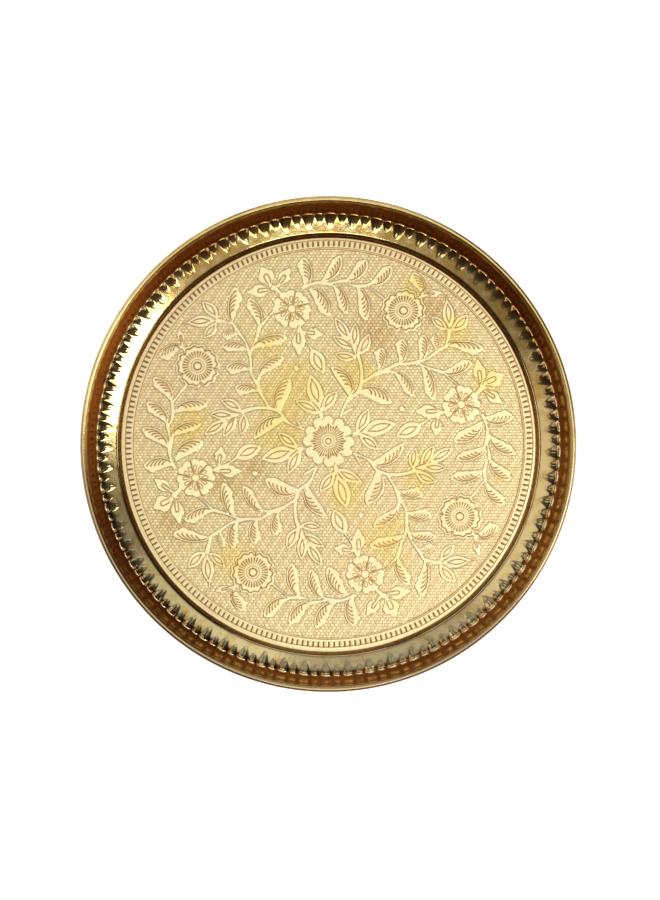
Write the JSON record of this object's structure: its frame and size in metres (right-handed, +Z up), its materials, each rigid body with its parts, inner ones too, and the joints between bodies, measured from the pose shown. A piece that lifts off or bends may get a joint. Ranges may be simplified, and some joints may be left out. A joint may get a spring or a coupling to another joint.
{
  "type": "serving tray",
  "caption": "Round shallow brass serving tray with an embossed floral floor, lobed sloping wall and a rim rolled over a steel wire.",
  "frame": {"origin": "centre of the underside of the flat floor, which is the resting face", "axes": "+Z up along the tray's axis, out of its open side; +X and +Y lie in the floor and cross at the centre of the embossed pattern's quarter turns"},
  "size_m": [0.305, 0.305, 0.0213],
  "materials": {
    "brass": "polished",
    "steel": "plain drawn wire"
  },
  "bodies": {
    "root": {"tray_pan": "brass", "rim_wire": "steel"}
  },
  "joints": []
}
